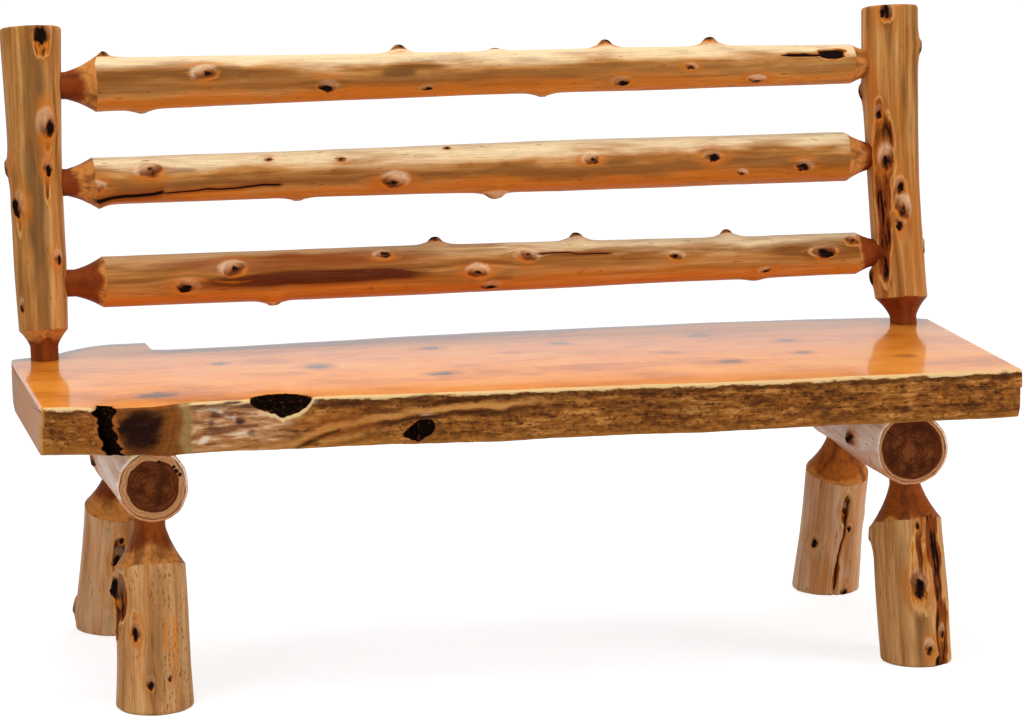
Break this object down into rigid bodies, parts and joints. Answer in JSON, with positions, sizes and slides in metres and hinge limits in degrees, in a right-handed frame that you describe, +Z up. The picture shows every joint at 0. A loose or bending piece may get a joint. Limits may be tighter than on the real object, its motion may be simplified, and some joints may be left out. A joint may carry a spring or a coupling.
{
  "type": "garden bench",
  "caption": "Rustic peeled-log garden bench: thick live-edge slab seat on cross logs with splayed legs, and a leaning log back with turned tenon joints.",
  "frame": {"origin": "on the ground, under the middle of the bench's bounding box", "axes": "+X along the seat to the right as seen from the front, +Y to the back, +Z up"},
  "size_m": [1.524, 0.6197, 0.982],
  "materials": {
    "seat_wood": "clear gloss varnish over red-orange cedar, rough natural edge",
    "log_wood": "satin varnish over peeled cedar with dark knots",
    "fastener_steel": "zinc-plated"
  },
  "bodies": {
    "root": {"seat_slab": "seat_wood", "bolster_left": "log_wood", "bolster_right": "log_wood", "leg_front_left": "log_wood", "leg_front_right": "log_wood", "leg_rear_left": "log_wood", "leg_rear_right": "log_wood", "post_left": "log_wood", "post_right": "log_wood", "rail_top": "log_wood", "rail_middle": "log_wood", "rail_bottom": "log_wood", "bolster_lag_screws": "fastener_steel", "bolster_washers": "fastener_steel", "post_lag_screws": "fastener_steel", "post_washers": "fastener_steel", "rail_screws": "fastener_steel", "leg_screws": "fastener_steel"}
  },
  "joints": []
}
